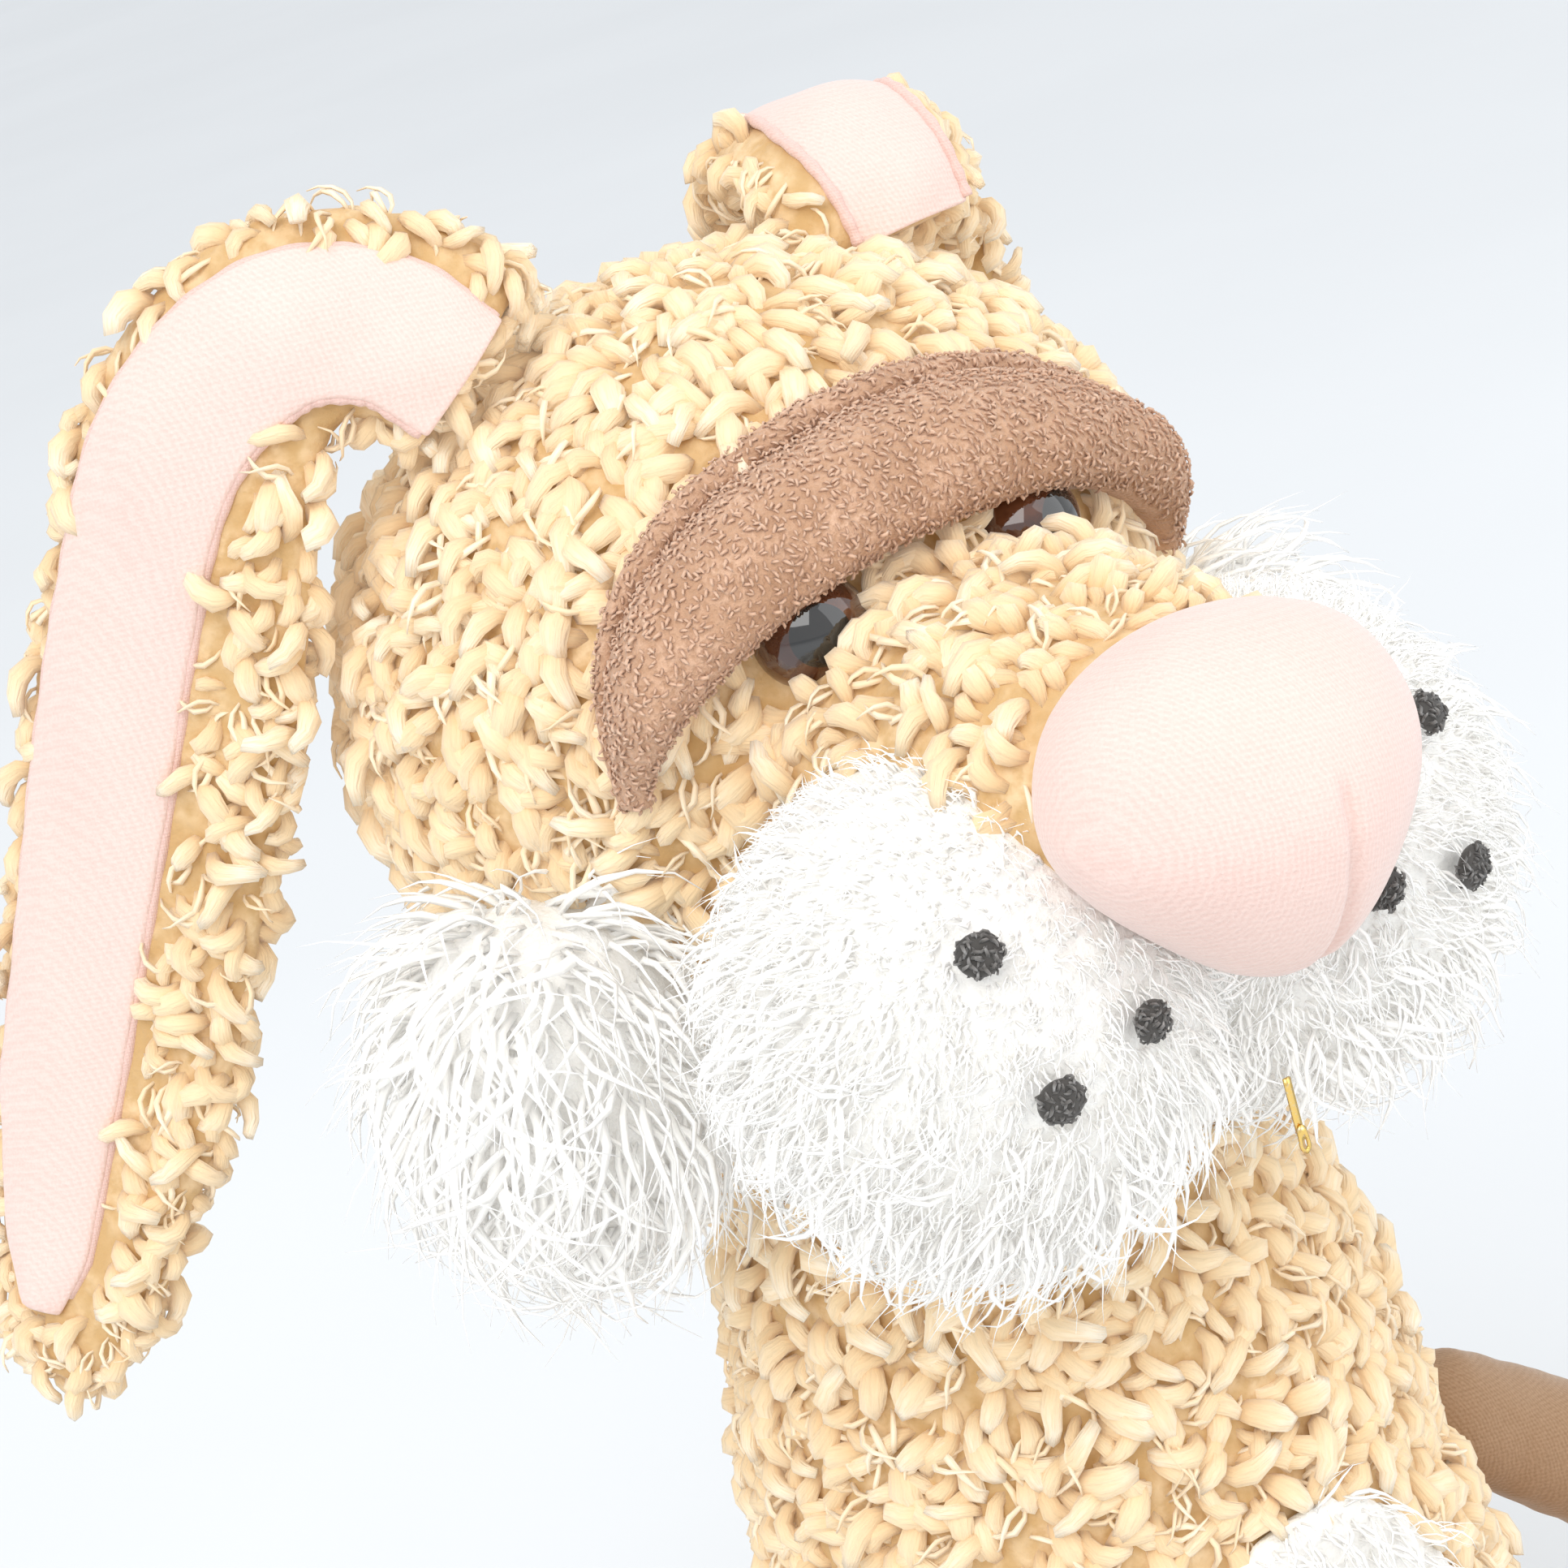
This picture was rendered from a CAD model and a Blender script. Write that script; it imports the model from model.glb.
"""Looks of a plush rabbit that sits upright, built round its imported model.

Lengths are in metres, and sizes that a sewer would give in millimetres are multiples of MM. The
rabbit faces -Y, its left side is +X, and the middle of its seat is the origin. Every sub-assembly is
a class with its sizes as fields, and every finish is a frozen dataclass that makes one material.
"""

from __future__ import annotations

import logging
import math
from dataclasses import dataclass
from enum import Enum
from typing import Callable, Sequence

import bmesh
import bpy
import numpy as np
from mathutils import Matrix, Vector, noise
from mathutils.bvhtree import BVHTree


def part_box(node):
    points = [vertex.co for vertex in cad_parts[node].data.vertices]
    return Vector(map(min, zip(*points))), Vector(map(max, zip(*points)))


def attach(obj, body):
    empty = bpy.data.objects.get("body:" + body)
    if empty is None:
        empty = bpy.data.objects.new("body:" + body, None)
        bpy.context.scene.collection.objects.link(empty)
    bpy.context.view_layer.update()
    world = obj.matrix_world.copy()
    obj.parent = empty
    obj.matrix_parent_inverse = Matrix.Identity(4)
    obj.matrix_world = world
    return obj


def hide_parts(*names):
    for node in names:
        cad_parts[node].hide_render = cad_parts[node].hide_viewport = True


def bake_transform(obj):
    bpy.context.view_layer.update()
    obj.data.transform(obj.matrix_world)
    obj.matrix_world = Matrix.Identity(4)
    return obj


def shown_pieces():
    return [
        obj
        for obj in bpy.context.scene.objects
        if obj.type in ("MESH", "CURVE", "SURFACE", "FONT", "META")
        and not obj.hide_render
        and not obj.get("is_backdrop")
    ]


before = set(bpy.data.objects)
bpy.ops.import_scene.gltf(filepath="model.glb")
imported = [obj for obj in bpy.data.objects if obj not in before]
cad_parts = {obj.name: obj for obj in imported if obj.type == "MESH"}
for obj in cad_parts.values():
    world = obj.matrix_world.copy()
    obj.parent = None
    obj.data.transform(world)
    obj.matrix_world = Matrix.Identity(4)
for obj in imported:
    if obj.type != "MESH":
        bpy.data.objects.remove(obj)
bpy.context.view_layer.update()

MM = 0.001
UP = Vector((0, 0, 1))
FAR = 1.0                                    # further than any two pieces are apart
log = logging.getLogger("rabbit")


class Body(Enum):
    """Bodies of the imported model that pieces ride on."""

    TORSO = "torso"
    NECK = "neck"
    HEAD = "head"


class Side(Enum):
    """The rabbit's own left and right, with the sign of X there."""

    LEFT = 1
    RIGHT = -1

    @property
    def word(self) -> str:
        """The side's name as the nodes spell it."""
        return self.name.lower()

    def place(self, point: Sequence[float]) -> Vector:
        """A point given for the left side, moved to this side."""
        return Vector((self.value * point[0], point[1], point[2]))


def ramp(low: float, high: float, x: float) -> float:
    """Smooth rise from 0 at low to 1 at high."""
    t = min(max((x - low) / (high - low), 0.0), 1.0)
    return t * t * (3 - 2 * t)


def along(stops: Sequence[tuple[float, float]], x: float) -> float:
    """Value at x of the straight runs through (x, value) stops."""
    return float(np.interp(x, [s[0] for s in stops], [s[1] for s in stops]))


def spline(points: Sequence[Sequence[float]], t: float) -> Vector:
    """Point at t, from 0 to 1, of a smooth curve through evenly counted points."""
    last = len(points) - 1
    place = min(max(t, 0.0), 1.0) * last
    i = min(int(place), last - 1)
    s = place - i
    p = [Vector(points[min(max(k, 0), last)]) for k in range(i - 1, i + 3)]
    if i == 0:
        p[0] = 2 * p[1] - p[2]
    if i == last - 1:
        p[3] = 2 * p[2] - p[1]
    return 0.5 * (
        2 * p[1]
        + (p[2] - p[0]) * s
        + (2 * p[0] - 5 * p[1] + 4 * p[2] - p[3]) * s * s
        + (3 * p[1] - p[0] - 3 * p[2] + p[3]) * s ** 3
    )


# ---------------------------------------------------------------- finishes


class Shader:
    """A material being built: one Principled shader and the nodes that feed it."""

    def __init__(self, name: str, **constants: float) -> None:
        """Starts the material.

        Args:
            name: The material's name.
            constants: Values of the shader's own sockets, with _ for a space in their names.
        """
        self.material = bpy.data.materials.new(name)
        self.material.use_nodes = True
        self.nodes = self.material.node_tree.nodes
        self.links = self.material.node_tree.links
        self.bsdf = self.nodes["Principled BSDF"]
        for socket, value in constants.items():
            self.bsdf.inputs[socket.replace("_", " ")].default_value = value

    def add(self, kind: str, inputs: dict | None = None, **settings: object) -> bpy.types.Node:
        """Adds a node.

        Args:
            kind: The node's type without its ShaderNode prefix.
            inputs: Socket name or number to a value, or to an output socket that feeds it.
            settings: The node's own settings.

        Returns:
            The node.
        """
        node = self.nodes.new("ShaderNode" + kind)
        for name, value in settings.items():
            setattr(node, name, value)
        for socket, value in (inputs or {}).items():
            if isinstance(value, bpy.types.NodeSocket):
                self.links.new(value, node.inputs[socket])
            else:
                node.inputs[socket].default_value = value
        return node

    def object_point(self) -> bpy.types.NodeSocket:
        """Position in the rabbit's own frame."""
        return self.add("TexCoord").outputs["Object"]

    def attribute(self, name: str, output: str = "Fac") -> bpy.types.NodeSocket:
        """A value stored on the mesh."""
        return self.add("Attribute", attribute_name=name).outputs[output]

    def noise(self, point: bpy.types.NodeSocket, scale: float, detail: float = 2.0) -> bpy.types.NodeSocket:
        """Cloudy noise from 0 to 1."""
        made = self.add("TexNoise", {"Vector": point, "Scale": scale, "Detail": detail})
        return made.outputs["Fac"]

    def stretch(self, point: bpy.types.NodeSocket, scale: Sequence[float]) -> bpy.types.NodeSocket:
        """The position scaled differently along each axis."""
        return self.add("Mapping", {"Vector": point, "Scale": scale}).outputs["Vector"]

    def math(self, what: str, a: object, b: object = 0.0) -> bpy.types.NodeSocket:
        """One sum on two numbers."""
        return self.add("Math", {0: a, 1: b}, operation=what).outputs[0]

    def band(self, value: bpy.types.NodeSocket, low: float, high: float) -> bpy.types.NodeSocket:
        """Rises smoothly from 0 at low to 1 at high."""
        made = self.add(
            "MapRange", {"Value": value, "From Min": low, "From Max": high},
            interpolation_type="SMOOTHSTEP",
        )
        return made.outputs["Result"]

    def mix(self, share: object, a: object, b: object) -> bpy.types.NodeSocket:
        """A colour between two colours."""
        made = self.add("Mix", data_type="RGBA")
        for socket, value in ((0, share), (6, a), (7, b)):
            if isinstance(value, bpy.types.NodeSocket):
                self.links.new(value, made.inputs[socket])
            elif socket == 0:
                made.inputs[0].default_value = value
            else:
                made.inputs[socket].default_value = (*value, 1.0)
        return made.outputs[2]

    def finish(self, colour: object, height: object = None, depth: float = 0.0,
               roughness: object = None) -> bpy.types.Material:
        """Joins colour, bump and roughness to the shader.

        Args:
            colour: Socket that gives the base colour.
            height: Socket that gives the bump's height, or None.
            depth: Depth of the bump in metres.
            roughness: Socket that gives the roughness, or None to keep the constant.

        Returns:
            The finished material.
        """
        self.links.new(colour, self.bsdf.inputs["Base Color"])
        if height is not None:
            bump = self.add("Bump", {"Height": height, "Distance": depth, "Strength": 1.0})
            self.links.new(bump.outputs["Normal"], self.bsdf.inputs["Normal"])
        if roughness is not None:
            self.links.new(roughness, self.bsdf.inputs["Roughness"])
        return self.material


@dataclass(frozen=True)
class PileFinish:
    """Curly fleece or long fur, coloured from root to tip along each lock."""

    name: str
    root: tuple[float, float, float]
    middle: tuple[float, float, float]
    tip: tuple[float, float, float]
    sheen: float = 0.3
    light_through: float = 0.0
    streak_depth: float = 0.28 * MM

    def material(self) -> bpy.types.Material:
        """Builds the material."""
        s = Shader(self.name, Roughness=0.85, Sheen_Weight=self.sheen, Sheen_Roughness=0.5,
                   Specular_IOR_Level=0.2, Emission_Strength=self.light_through)
        s.bsdf.inputs["Emission Color"].default_value = (*self.tip, 1.0)
        height = s.attribute("height")
        tone = s.attribute("tone")
        grain = s.add("CombineXYZ", {0: s.attribute("grain_a"), 1: s.attribute("grain_b"),
                                     2: s.attribute("grain_c")}).outputs[0]
        streaks = s.noise(grain, 3.4, 4.0)
        patches = s.noise(s.object_point(), 45.0, 2.0)
        low = s.mix(s.band(height, 0.05, 0.5), self.root, self.middle)
        lift = s.math("MULTIPLY", s.band(height, 0.3, 0.95), s.band(tone, -0.35, 0.75))
        lift = s.math("MULTIPLY", lift, s.band(streaks, 0.25, 0.6))
        full = s.mix(lift, low, self.tip)
        warm = s.math("MULTIPLY", s.band(patches, 0.45, 0.7), 0.35)
        colour = s.mix(warm, full, self.middle)
        return s.finish(colour, s.math("MULTIPLY", streaks, s.attribute("fibre")), self.streak_depth)


@dataclass(frozen=True)
class BackingFinish:
    """The cloth that pile grows from, seen only between the locks."""

    name: str
    dark: tuple[float, float, float]
    light: tuple[float, float, float]
    grain: float = 900.0

    def material(self) -> bpy.types.Material:
        """Builds the material."""
        s = Shader(self.name, Roughness=0.95, Sheen_Weight=0.3, Specular_IOR_Level=0.1)
        point = s.object_point()
        fibres = s.noise(point, self.grain, 4.0)
        clouds = s.noise(point, 160.0, 2.0)
        share = s.math("MULTIPLY", s.band(fibres, 0.3, 0.7), s.band(clouds, 0.25, 0.75))
        return s.finish(s.mix(share, self.dark, self.light), fibres, 0.6 * MM)


@dataclass(frozen=True)
class KnitFinish:
    """Fine knitted velour or jersey, with wales that run along one axis of the rabbit."""

    name: str
    shade: tuple[float, float, float]
    light: tuple[float, float, float]
    wale: float = 0.55 * MM
    across: tuple[float, float, float] = (1.0, 0.35, 0.0)
    depth: float = 0.10 * MM
    sheen: float = 0.5

    def material(self) -> bpy.types.Material:
        """Builds the material."""
        s = Shader(self.name, Roughness=0.9, Sheen_Weight=self.sheen, Sheen_Roughness=0.4,
                   Specular_IOR_Level=0.15)
        point = s.object_point()
        wobble = s.noise(point, 500.0, 2.0)
        turned = s.add("VectorMath", {0: point, 1: self.across}, operation="DOT_PRODUCT").outputs["Value"]
        row = s.add("VectorMath", {0: point, 1: (0.2, 0.2, 1.0)}, operation="DOT_PRODUCT").outputs["Value"]
        pitch = 2 * math.pi / self.wale
        phase = s.math("ADD", s.math("MULTIPLY", turned, pitch), s.math("MULTIPLY", wobble, 9.0))
        wales = s.math("SINE", phase)
        courses = s.math("SINE", s.math("ADD", s.math("MULTIPLY", row, pitch * 0.8),
                                        s.math("ABSOLUTE", s.math("MULTIPLY", wales, 1.3))))
        fuzz = s.noise(point, 2600.0, 3.0)
        clouds = s.noise(point, 90.0, 2.0)
        weave = s.math("ADD", s.math("MULTIPLY", wales, 0.12), s.math("MULTIPLY", courses, 0.10))
        height = s.math("ADD", s.math("ADD", weave, 0.4), fuzz)
        share = s.math("ADD", s.math("MULTIPLY", s.band(height, 0.5, 1.3), 0.65),
                       s.math("MULTIPLY", clouds, 0.4))
        return s.finish(s.mix(share, self.shade, self.light), height, self.depth)


@dataclass(frozen=True)
class GlossFinish:
    """Moulded glossy plastic of the safety eyes."""

    name: str
    deep: tuple[float, float, float]
    light: tuple[float, float, float]
    roughness: float = 0.06

    def material(self) -> bpy.types.Material:
        """Builds the material."""
        s = Shader(self.name, Roughness=self.roughness, Coat_Weight=1.0, Coat_Roughness=0.03,
                   Specular_IOR_Level=0.6)
        swirl = s.noise(s.stretch(s.object_point(), (1.0, 0.3, 1.0)), 260.0, 3.0)
        colour = s.mix(s.band(swirl, 0.3, 0.75), self.deep, self.light)
        return s.finish(colour, swirl, 0.01 * MM)


@dataclass(frozen=True)
class MetalFinish:
    """Polished gilt wire, a little worn."""

    name: str
    gold: tuple[float, float, float] = (0.85, 0.58, 0.18)
    worn: tuple[float, float, float] = (0.72, 0.66, 0.55)

    def material(self) -> bpy.types.Material:
        """Builds the material."""
        s = Shader(self.name, Roughness=0.22, Metallic=1.0)
        scuffs = s.noise(s.object_point(), 2200.0, 3.0)
        rough = s.math("ADD", s.math("MULTIPLY", scuffs, 0.2), 0.12)
        return s.finish(s.mix(s.band(scuffs, 0.5, 0.8), self.gold, self.worn), scuffs, 0.01 * MM, rough)


@dataclass(frozen=True)
class PlainFinish:
    """Everyday inner materials and the floor: wadding, cotton, moulded washers, satin."""

    name: str
    dark: tuple[float, float, float]
    light: tuple[float, float, float]
    scale: float = 400.0
    depth: float = 0.2 * MM
    roughness: float = 0.9

    def material(self) -> bpy.types.Material:
        """Builds the material."""
        s = Shader(self.name, Roughness=self.roughness)
        mottle = s.noise(s.object_point(), self.scale, 4.0)
        return s.finish(s.mix(s.band(mottle, 0.3, 0.7), self.dark, self.light), mottle, self.depth)


class Finishes:
    """Every material of the rabbit, made once."""

    def __init__(self) -> None:
        """Makes the materials."""
        honey, gold = (0.87, 0.66, 0.40), (0.76, 0.52, 0.27)
        self.fleece = PileFinish("curly_fleece", gold, honey, (0.95, 0.84, 0.67),
                                 light_through=0.10).material()
        self.fleece_cloth = BackingFinish("fleece_cloth", (0.62, 0.40, 0.18), (0.88, 0.67, 0.42),
                                          grain=420.0).material()
        self.fur = PileFinish("white_fur", (0.96, 0.94, 0.90), (0.98, 0.97, 0.94), (0.99, 0.985, 0.975),
                              sheen=0.5, light_through=0.15, streak_depth=0.02 * MM).material()
        self.fur_cloth = BackingFinish("fur_cloth", (0.94, 0.92, 0.88), (0.98, 0.97, 0.95)).material()
        self.velour = KnitFinish("pink_velour", (0.79, 0.56, 0.50), (0.88, 0.69, 0.63)).material()
        self.velour_edge = KnitFinish("pink_hem", (0.72, 0.47, 0.41), (0.85, 0.63, 0.57),
                                      wale=0.3 * MM).material()
        self.terry = PileFinish("terry_loops", (0.54, 0.32, 0.20), (0.72, 0.46, 0.32),
                                (0.84, 0.60, 0.44), streak_depth=0.05 * MM).material()
        self.terry_cloth = BackingFinish("terry_cloth", (0.54, 0.32, 0.20), (0.76, 0.50, 0.35),
                                         grain=1500.0).material()
        self.jersey = KnitFinish("brown_jersey", (0.30, 0.18, 0.10), (0.46, 0.30, 0.19), wale=0.5 * MM,
                                 depth=0.07 * MM, sheen=0.35).material()
        self.seam = KnitFinish("seam_thread", (0.16, 0.09, 0.05), (0.30, 0.18, 0.11), wale=0.4 * MM,
                               depth=0.03 * MM, sheen=0.2).material()
        self.iris = GlossFinish("eye_brown", (0.045, 0.012, 0.005), (0.12, 0.035, 0.012)).material()
        self.pupil = GlossFinish("eye_black", (0.004, 0.004, 0.004), (0.010, 0.009, 0.009)).material()
        self.thread = PileFinish("charcoal_thread", (0.07, 0.065, 0.06), (0.15, 0.14, 0.13),
                                 (0.42, 0.41, 0.40), streak_depth=0.05 * MM).material()
        self.gilt = MetalFinish("gilt").material()
        self.wadding = PlainFinish("wadding", (0.80, 0.80, 0.79), (0.93, 0.93, 0.92)).material()
        self.cotton = PlainFinish("cotton", (0.66, 0.62, 0.52), (0.80, 0.77, 0.68), 900.0).material()
        self.washer = PlainFinish("washer_plastic", (0.74, 0.74, 0.72), (0.82, 0.82, 0.80), 200.0,
                                  0.02 * MM, 0.45).material()
        self.satin = PlainFinish("label_satin", (0.82, 0.82, 0.83), (0.92, 0.92, 0.93), 1600.0,
                                 0.03 * MM, 0.4).material()
        self.floor = PlainFinish("studio_floor", (0.78, 0.80, 0.82), (0.80, 0.82, 0.84), 3.0, 0.0,
                                 0.8).material()


# ---------------------------------------------------------------- mesh tools


def to_object(name: str, bm: bmesh.types.BMesh, material: bpy.types.Material) -> bpy.types.Object:
    """Makes a piece from a bmesh, with smooth faces.

    Args:
        name: The piece's name.
        bm: Its mesh, which is freed.
        material: Its finish.

    Returns:
        The new object, linked to the scene.
    """
    for face in bm.faces:
        face.smooth = True
    mesh = bpy.data.meshes.new(name)
    bm.to_mesh(mesh)
    bm.free()
    mesh.materials.append(material)
    made = bpy.data.objects.new(name, mesh)
    bpy.context.scene.collection.objects.link(made)
    return made


def bake(piece: bpy.types.Object) -> bpy.types.Object:
    """Turns a piece's modifiers into its own mesh."""
    graph = bpy.context.evaluated_depsgraph_get()
    mesh = bpy.data.meshes.new_from_object(piece.evaluated_get(graph))
    old = piece.data
    piece.modifiers.clear()
    piece.data = mesh
    bpy.data.meshes.remove(old)
    mesh.name = piece.name
    return piece


def remesh(piece: bpy.types.Object, voxel: float, smooth: int = 4) -> bpy.types.Object:
    """Gives a closed piece an even mesh.

    Args:
        piece: The piece.
        voxel: Size of the new faces.
        smooth: How often the new surface is smoothed.

    Returns:
        The same piece.
    """
    modifier = piece.modifiers.new("remesh", "REMESH")
    modifier.mode = "VOXEL"
    modifier.voxel_size = voxel
    modifier.use_smooth_shade = True
    if smooth:
        relax = piece.modifiers.new("relax", "SMOOTH")
        relax.iterations = smooth
        relax.factor = 0.5
    return bake(piece)


def thicken(piece: bpy.types.Object, thickness: float, levels: int = 0) -> bpy.types.Object:
    """Gives an open sheet its cloth's thickness, inwards, and rounds it.

    Args:
        piece: The open sheet.
        thickness: The cloth's thickness.
        levels: How often the result is subdivided.

    Returns:
        The same piece.
    """
    solid = piece.modifiers.new("cloth", "SOLIDIFY")
    solid.thickness = thickness
    solid.offset = -1.0
    if levels:
        soft = piece.modifiers.new("soft", "SUBSURF")
        soft.levels = soft.render_levels = levels
    return bake(piece)


def puff(piece: bpy.types.Object, voxel: float, pressure: float, most: float) -> bpy.types.Object:
    """Stuffs a closed cloth form by simulating it under pressure.

    Args:
        piece: The closed form.
        voxel: Size of the faces that are simulated.
        pressure: Pressure inside the cloth.
        most: Furthest that any point may move.

    Returns:
        The same piece, swollen and subdivided.
    """
    remesh(piece, voxel, 2)
    rest = np.array([v.co for v in piece.data.vertices])
    cloth = piece.modifiers.new("stuffed", "CLOTH")
    cloth.settings.use_pressure = True
    cloth.settings.uniform_pressure_force = pressure
    cloth.settings.quality = 4
    cloth.settings.effector_weights.gravity = 0.0
    for step in range(1, 21):
        bpy.context.scene.frame_set(step)
    graph = bpy.context.evaluated_depsgraph_get()
    swollen = np.array([v.co for v in piece.evaluated_get(graph).data.vertices])
    piece.modifiers.clear()
    bpy.context.scene.frame_set(1)
    move = swollen - rest
    far = np.linalg.norm(move, axis=1, keepdims=True)
    rest = rest + move * np.minimum(1.0, most / np.maximum(far, 1e-9))
    piece.data.vertices.foreach_set("co", rest.astype(np.float32).ravel())
    soft = piece.modifiers.new("soft", "SUBSURF")
    soft.levels = soft.render_levels = 1
    return bake(piece)


def outer_wall(node: str) -> bmesh.types.BMesh:
    """A copy of a CAD node's outer wall, without the inner wall of its cloth."""
    bm = bmesh.new()
    bm.from_mesh(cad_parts[node].data)
    bmesh.ops.remove_doubles(bm, verts=bm.verts, dist=0.01 * MM)
    walls, seen = [], set()
    for start in bm.verts:
        if start in seen:
            continue
        wall, edge = {start}, [start]
        while edge:
            for link in edge.pop().link_edges:
                for v in link.verts:
                    if v not in wall:
                        wall.add(v)
                        edge.append(v)
        seen |= wall
        walls.append(wall)
    outer = max(walls, key=lambda wall: max(v.co.x for v in wall) - min(v.co.x for v in wall))
    bmesh.ops.delete(bm, geom=[v for v in bm.verts if v not in outer], context="VERTS")
    return bm


def add_ellipsoid(bm: bmesh.types.BMesh, centre: Sequence[float], half: Sequence[float],
                  segments: int = 48, rings: int = 32) -> list[bmesh.types.BMVert]:
    """Adds an ellipsoid, given in millimetres.

    Args:
        bm: The mesh to add to.
        centre: Its centre.
        half: Half its size along each axis.
        segments: Faces round it.
        rings: Faces from pole to pole.

    Returns:
        Its vertices.
    """
    place = Matrix.Translation(Vector(centre) * MM) @ Matrix.Diagonal((*(Vector(half) * MM), 1.0))
    return bmesh.ops.create_uvsphere(bm, u_segments=segments, v_segments=rings, radius=1.0,
                                     matrix=place)["verts"]


def add_tube(bm: bmesh.types.BMesh, sides: int, rings: int, place: Callable[[float, float], Vector],
             marks: dict[str, Callable[[float, float], float]] | None = None) -> None:
    """Adds a closed tube whose surface a function places.

    Args:
        bm: The mesh to add to.
        sides: Faces round the tube.
        rings: Faces along it.
        place: Gives a surface point from the run along the tube, 0 to 1, and the angle round it.
        marks: Numbers to store on the points, each from the same run and angle.
    """
    tube = bmesh.new()
    start = Matrix.Translation((0, 0, 0.5))
    bmesh.ops.create_cone(tube, cap_ends=True, cap_tris=False, segments=sides, radius1=1.0,
                          radius2=1.0, depth=1.0, matrix=start)
    longs = [e for e in tube.edges if abs(e.verts[0].co.z - e.verts[1].co.z) > 0.5]
    bmesh.ops.subdivide_edges(tube, edges=longs, cuts=rings - 1)
    layers = {name: tube.verts.layers.float.new(name) for name in marks or ()}
    for v in tube.verts:
        run, angle = v.co.z, math.atan2(v.co.y, v.co.x)
        for name, layer in layers.items():
            v[layer] = marks[name](run, angle)
        v.co = place(run, angle)
    scratch = bpy.data.meshes.new("scratch")
    tube.to_mesh(scratch)
    tube.free()
    bm.from_mesh(scratch)
    bpy.data.meshes.remove(scratch)


def add_sheet(bm: bmesh.types.BMesh, columns: int, rows: int,
              place: Callable[[float, float], Vector]) -> None:
    """Adds an open sheet whose surface a function places.

    Args:
        bm: The mesh to add to.
        columns: Faces along u.
        rows: Faces along v.
        place: Gives a surface point from u and v, each from 0 to 1.
    """
    for v in bmesh.ops.create_grid(bm, x_segments=columns, y_segments=rows, size=0.5)["verts"]:
        v.co = place(v.co.x + 0.5, v.co.y + 0.5)


def outward(bm: bmesh.types.BMesh) -> bmesh.types.BMesh:
    """Turns a closed mesh's faces outwards."""
    bmesh.ops.recalc_face_normals(bm, faces=bm.faces)
    return bm


def fit(piece: bpy.types.Object, body: str, slot: str, *nodes: str, fill: float | None = None) -> None:
    """Lets a piece ride on a body and notes what it stands for.

    Args:
        piece: The piece.
        body: The body that it rides on.
        slot: The material slot that it shows.
        nodes: The CAD nodes that it takes the place of.
        fill: How full a padded form is, or None if it isn't padded.
    """
    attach(piece, body)
    if nodes:
        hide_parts(*nodes)


# ---------------------------------------------------------------- pile


@dataclass(frozen=True)
class Strand:
    """One tapered, curling bunch of fibres that stands on its root."""

    length: float
    radius: float
    curl: float
    root: float = 0.6
    belly: float = 0.45
    tip: float = 0.35
    sides: int = 6
    rings: int = 6
    sway: float = 0.0
    pale: float = 0.0

    def thickness(self, s: float) -> float:
        """Radius at s along the strand."""
        if s < self.belly:
            return self.radius * (self.root + (1 - self.root) * ramp(0, self.belly, s))
        return self.radius * (self.tip + (1 - self.tip) * (1 - ramp(self.belly, 1.0, s)))

    def spine(self, s: float) -> tuple[Vector, float]:
        """Point of the strand's middle line at s, and the angle that it has turned through."""
        steps = 8
        point = Vector()
        for k in range(steps):
            angle = self.curl * ((k + 0.5) / steps * s) ** 1.2
            point += Vector((math.sin(angle), 0.0, math.cos(angle))) * (self.length * s / steps)
        point.y += self.sway * math.sin(s * math.pi * 1.5)
        return point, self.curl * s ** 1.2


@dataclass(frozen=True)
class Tuft:
    """A few strands that share a root, repeated all over a panel."""

    strands: tuple[Strand, ...]
    spread: float = 0.0

    def mesh(self, name: str) -> bpy.types.Mesh:
        """Builds the tuft, with height, grain and tone stored on its points."""
        bm = bmesh.new()
        for index, strand in enumerate(self.strands):
            turn = Matrix.Rotation(2.4 * index, 3, "Z")
            offset = turn @ Vector((self.spread, 0, 0)) if index else Vector()
            fan = Matrix.Rotation(0.5 * math.sin(3.1 * index), 3, "Z")

            def place(s: float, angle: float) -> Vector:
                """Surface point of this strand."""
                centre, lean = strand.spine(s)
                side = Vector((math.cos(lean), 0.0, -math.sin(lean)))
                ring = side * math.cos(angle) + Vector((0, 1, 0)) * math.sin(angle)
                return fan @ (centre + ring * strand.thickness(s)) + offset

            add_tube(bm, strand.sides, strand.rings, place, {
                "height": lambda s, angle: strand.pale + (1 - strand.pale) * s,
                "grain_a": lambda s, angle: 1.2 * math.cos(angle),
                "grain_b": lambda s, angle: 1.2 * math.sin(angle),
                "grain_c": lambda s, angle: 0.9 * s + 3.7 * index,
                "fibre": lambda s, angle: 0.0 if strand.pale else 1.0,
                "tone": lambda s, angle: 0.0,
            })
        outward(bm)
        for face in bm.faces:
            face.smooth = True
        mesh = bpy.data.meshes.new(name)
        bm.to_mesh(mesh)
        bm.free()
        return mesh


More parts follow.
